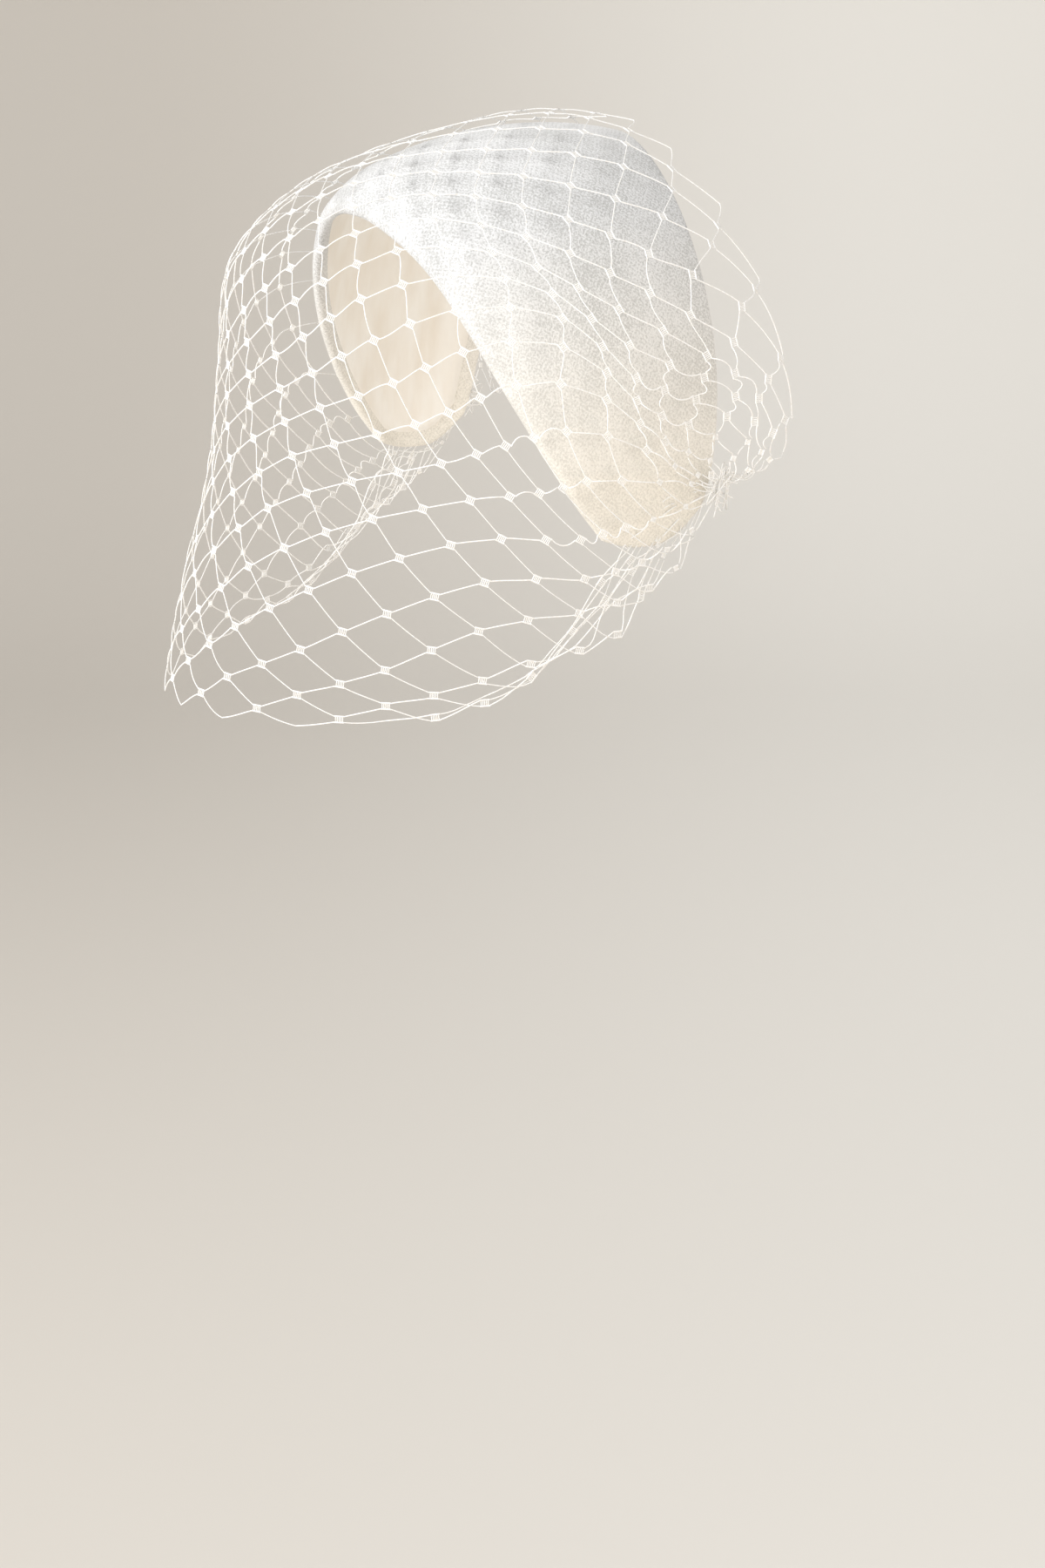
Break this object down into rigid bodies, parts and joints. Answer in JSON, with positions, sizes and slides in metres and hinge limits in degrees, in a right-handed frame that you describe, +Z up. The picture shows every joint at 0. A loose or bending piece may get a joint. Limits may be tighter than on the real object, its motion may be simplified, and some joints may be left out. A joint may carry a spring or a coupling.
{
  "type": "half hat with birdcage veil",
  "caption": "Velvet-covered half hat, a wide band over the crown of the head from ear to ear, with a gathered netting veil that stands over hat and face.",
  "frame": {"origin": "on the mid-plane, on the crown of the head, where the hat sits", "axes": "+Z up from the crown of the head, the face looks along -Y, the wearer's left is +X"},
  "size_m": [0.1864, 0.1747, 0.1765],
  "materials": {
    "velvet": "ivory velvet with a short soft pile, padded front edge",
    "satin": "cream satin lining, low sheen",
    "netting": "off-white veiling thread with ladder knots, matt"
  },
  "bodies": {
    "root": {"crown": "velvet", "lining": "satin", "veil": "netting", "gather_left": "netting", "gather_right": "netting"}
  },
  "joints": []
}
